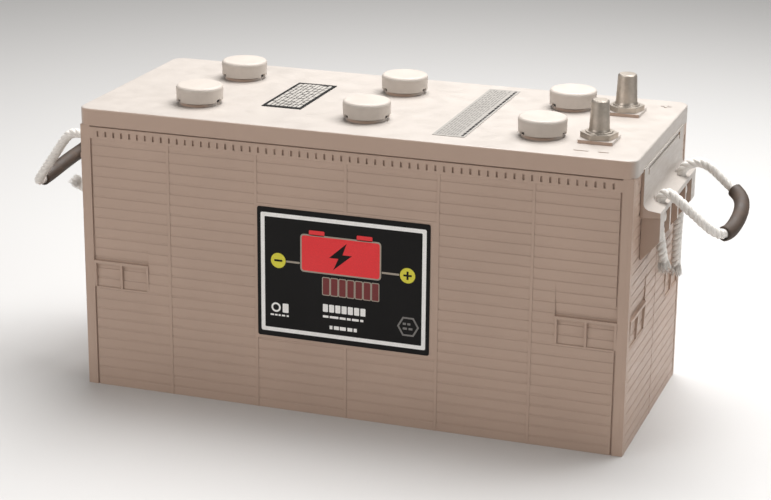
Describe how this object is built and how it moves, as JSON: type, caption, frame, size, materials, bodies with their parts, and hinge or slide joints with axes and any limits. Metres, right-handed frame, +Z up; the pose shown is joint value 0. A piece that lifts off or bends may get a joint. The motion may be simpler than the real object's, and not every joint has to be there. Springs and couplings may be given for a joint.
{
  "type": "deep cycle battery",
  "caption": "Large rectangular gel deep cycle battery with ribbed case, round vent caps, two lead posts and rope handles at both ends.",
  "frame": {"origin": "centre of the footprint, on the floor", "axes": "+X towards the end with both terminal posts, -Y towards the long side with the front label, +Z up"},
  "size_m": [0.6943, 0.222, 0.309],
  "materials": {
    "container": "moulded polypropylene, warm taupe grey",
    "cover": "moulded polypropylene, warm light grey",
    "cap": "moulded polypropylene, light grey",
    "plug": "moulded polypropylene",
    "front_label": "printed vinyl, semi gloss",
    "cover_label": "printed vinyl",
    "lead": "cast lead alloy, tooled",
    "plate_positive": "lead dioxide paste on a lead grid",
    "plate_negative": "spongy lead paste on a lead grid",
    "separator": "microporous sheet",
    "gel": "thixotropic silica gel",
    "seal": "moulded EPDM",
    "arrestor": "porous sintered disc",
    "rope": "twisted white polypropylene rope",
    "grip": "flexible vinyl tube"
  },
  "bodies": {
    "case": {"container": "container", "cover": "cover", "front_label": "front_label", "rating_label": "cover_label", "instruction_label": "cover_label", "vent_gaskets": "seal", "separators": "separator", "gel_electrolyte": "gel", "intercell_connectors": "lead", "positive_plates_1": "plate_positive", "negative_plates_1": "plate_negative", "positive_plates_2": "plate_positive", "negative_plates_2": "plate_negative", "positive_plates_3": "plate_positive", "negative_plates_3": "plate_negative", "positive_plates_4": "plate_positive", "negative_plates_4": "plate_negative", "positive_plates_5": "plate_positive", "negative_plates_5": "plate_negative", "positive_plates_6": "plate_positive", "negative_plates_6": "plate_negative", "positive_terminal_post": "lead", "positive_terminal_collar": "lead", "positive_post_seal": "seal", "negative_terminal_post": "lead", "negative_terminal_collar": "lead", "negative_post_seal": "seal", "rope_ends_left": "rope", "rope_ends_right": "rope"},
    "handle_left": {"handle_rope_left": "rope", "handle_grip_left": "grip"},
    "handle_right": {"handle_rope_right": "rope", "handle_grip_right": "grip"},
    "vent_1": {"vent_cap_1": "cap", "vent_body_1": "plug", "relief_valve_1": "seal", "flame_arrestor_1": "arrestor"},
    "vent_2": {"vent_cap_2": "cap", "vent_body_2": "plug", "relief_valve_2": "seal", "flame_arrestor_2": "arrestor"},
    "vent_3": {"vent_cap_3": "cap", "vent_body_3": "plug", "relief_valve_3": "seal", "flame_arrestor_3": "arrestor"},
    "vent_4": {"vent_cap_4": "cap", "vent_body_4": "plug", "relief_valve_4": "seal", "flame_arrestor_4": "arrestor"},
    "vent_5": {"vent_cap_5": "cap", "vent_body_5": "plug", "relief_valve_5": "seal", "flame_arrestor_5": "arrestor"},
    "vent_6": {"vent_cap_6": "cap", "vent_body_6": "plug", "relief_valve_6": "seal", "flame_arrestor_6": "arrestor"}
  },
  "joints": [
    {"name": "vent_1_turn", "type": "hinge", "parent": "case", "child": "vent_1", "pos_m": [-0.165, -0.054, 0.275], "axis": [0, 0, 1], "range_deg": [0, 90]},
    {"name": "vent_2_turn", "type": "hinge", "parent": "case", "child": "vent_2", "pos_m": [0, -0.054, 0.275], "axis": [0, 0, 1], "range_deg": [0, 90]},
    {"name": "vent_3_turn", "type": "hinge", "parent": "case", "child": "vent_3", "pos_m": [0.165, -0.054, 0.275], "axis": [0, 0, 1], "range_deg": [0, 90]},
    {"name": "vent_4_turn", "type": "hinge", "parent": "case", "child": "vent_4", "pos_m": [-0.165, 0.054, 0.275], "axis": [0, 0, 1], "range_deg": [0, 90]},
    {"name": "vent_5_turn", "type": "hinge", "parent": "case", "child": "vent_5", "pos_m": [0, 0.054, 0.275], "axis": [0, 0, 1], "range_deg": [0, 90]},
    {"name": "vent_6_turn", "type": "hinge", "parent": "case", "child": "vent_6", "pos_m": [0.165, 0.054, 0.275], "axis": [0, 0, 1], "range_deg": [0, 90]},
    {"name": "handle_left_lift", "type": "hinge", "parent": "case", "child": "handle_left", "pos_m": [-0.271, 0, 0.2262], "axis": [0, 1, 0], "range_deg": [0, 70]},
    {"name": "handle_right_lift", "type": "hinge", "parent": "case", "child": "handle_right", "pos_m": [0.271, 0, 0.2262], "axis": [0, -1, 0], "range_deg": [0, 70]}
  ]
}
